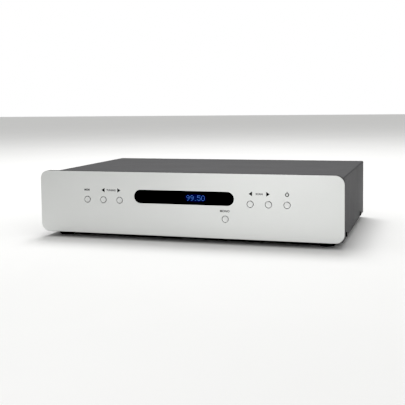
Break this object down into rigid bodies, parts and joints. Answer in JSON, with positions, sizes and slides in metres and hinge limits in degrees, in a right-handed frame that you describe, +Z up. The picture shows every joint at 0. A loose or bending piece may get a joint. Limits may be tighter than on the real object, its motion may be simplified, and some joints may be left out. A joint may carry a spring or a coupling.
{
  "type": "fm tuner",
  "caption": "Full-width hi-fi radio tuner: thick aluminium front with a black display window and round push buttons, folded grey steel case, sockets and mains inlet at the back.",
  "frame": {"origin": "middle of the overall box, on the surface the feet stand on", "axes": "+X to the right seen from the front, +Y from the front to the back, +Z up"},
  "size_m": [0.44, 0.2944, 0.097],
  "materials": {
    "front_aluminium": "fine satin anodised, natural silver",
    "button_aluminium": "turned satin anodised",
    "window_acrylic": "polished black acrylic",
    "display_glass": "dark display glass",
    "case_paint": "dark grey fine-textured powder coat",
    "zinc_steel": "zinc-plated sheet",
    "screw_steel": "bright zinc",
    "black_screw": "black zinc",
    "nickel_plate": "bright nickel",
    "tinplate": "tinned sheet",
    "circuit_board": "green solder mask",
    "switch_plastic": "black moulded",
    "socket_plastic": "black moulded",
    "inlet_plastic": "black moulded, slight sheen",
    "rocker_plastic": "black moulded, glossy",
    "white_plastic": "white moulded",
    "red_plastic": "red moulded",
    "chip_plastic": "moulded epoxy",
    "capacitor_sleeve": "shrunk sleeve",
    "heatsink_black": "black anodised",
    "winding_tape": "amber polyester tape",
    "fuse_glass": "clear glass",
    "lead_insulation": "PVC insulation",
    "ribbon_grey": "ribbed PVC",
    "foot_plastic": "black moulded",
    "foot_rubber": "black rubber"
  },
  "bodies": {
    "case": {"front_panel": "front_aluminium", "display_window": "window_acrylic", "front_frame": "zinc_steel", "display_module": "display_glass", "front_board": "circuit_board", "front_board_spacers": "screw_steel", "key_switches": "switch_plastic", "chassis_tray": "case_paint", "rear_panel": "case_paint", "top_cover": "case_paint", "feet": "foot_plastic", "foot_pads": "foot_rubber", "chassis_screws": "screw_steel", "cover_screws": "black_screw", "audio_socket_block": "socket_plastic", "audio_sleeves": "nickel_plate", "audio_insert_left": "white_plastic", "audio_insert_right": "red_plastic", "aerial_socket": "nickel_plate", "aerial_insulator": "white_plastic", "aerial_nut": "nickel_plate", "mains_inlet": "inlet_plastic", "mains_pins": "nickel_plate", "inlet_screws": "black_screw", "rocker_housing": "inlet_plastic", "transformer": "winding_tape", "transformer_pads": "foot_rubber", "transformer_washer": "zinc_steel", "transformer_bolt": "screw_steel", "transformer_nut": "screw_steel", "main_board": "circuit_board", "board_standoffs": "screw_steel", "tuner_can": "tinplate", "tuner_lid": "tinplate", "capacitors": "capacitor_sleeve", "heatsink": "heatsink_black", "regulators": "chip_plastic", "chips": "chip_plastic", "fuse": "fuse_glass", "fuse_clips": "nickel_plate", "board_connectors": "white_plastic", "ribbon_cable": "ribbon_grey", "transformer_leads": "lead_insulation", "mains_leads": "lead_insulation"},
    "button_memory": {"button_memory": "button_aluminium", "plunger_memory": "switch_plastic"},
    "button_tuning_down": {"button_tuning_down": "button_aluminium", "plunger_tuning_down": "switch_plastic"},
    "button_tuning_up": {"button_tuning_up": "button_aluminium", "plunger_tuning_up": "switch_plastic"},
    "button_mono": {"button_mono": "button_aluminium", "plunger_mono": "switch_plastic"},
    "button_scan_down": {"button_scan_down": "button_aluminium", "plunger_scan_down": "switch_plastic"},
    "button_scan_up": {"button_scan_up": "button_aluminium", "plunger_scan_up": "switch_plastic"},
    "button_power": {"button_power": "button_aluminium", "plunger_power": "switch_plastic"},
    "rocker": {"rocker": "rocker_plastic"}
  },
  "joints": [
    {"name": "press_memory", "type": "slide", "parent": "case", "child": "button_memory", "axis": [0, 1, 0], "range_m": [0, 0.0008], "stiffness_N_per_m": 1500, "springref_m": -0.0003},
    {"name": "press_tuning_down", "type": "slide", "parent": "case", "child": "button_tuning_down", "axis": [0, 1, 0], "range_m": [0, 0.0008], "stiffness_N_per_m": 1500, "springref_m": -0.0003},
    {"name": "press_tuning_up", "type": "slide", "parent": "case", "child": "button_tuning_up", "axis": [0, 1, 0], "range_m": [0, 0.0008], "stiffness_N_per_m": 1500, "springref_m": -0.0003},
    {"name": "press_mono", "type": "slide", "parent": "case", "child": "button_mono", "axis": [0, 1, 0], "range_m": [0, 0.0008], "stiffness_N_per_m": 1500, "springref_m": -0.0003},
    {"name": "press_scan_down", "type": "slide", "parent": "case", "child": "button_scan_down", "axis": [0, 1, 0], "range_m": [0, 0.0008], "stiffness_N_per_m": 1500, "springref_m": -0.0003},
    {"name": "press_scan_up", "type": "slide", "parent": "case", "child": "button_scan_up", "axis": [0, 1, 0], "range_m": [0, 0.0008], "stiffness_N_per_m": 1500, "springref_m": -0.0003},
    {"name": "press_power", "type": "slide", "parent": "case", "child": "button_power", "axis": [0, 1, 0], "range_m": [0, 0.0008], "stiffness_N_per_m": 1500, "springref_m": -0.0003},
    {"name": "mains_rocker", "type": "hinge", "parent": "case", "child": "rocker", "pos_m": [-0.115, 0.1345, 0.05], "axis": [1, 0, 0], "range_deg": [-20, 0]}
  ]
}
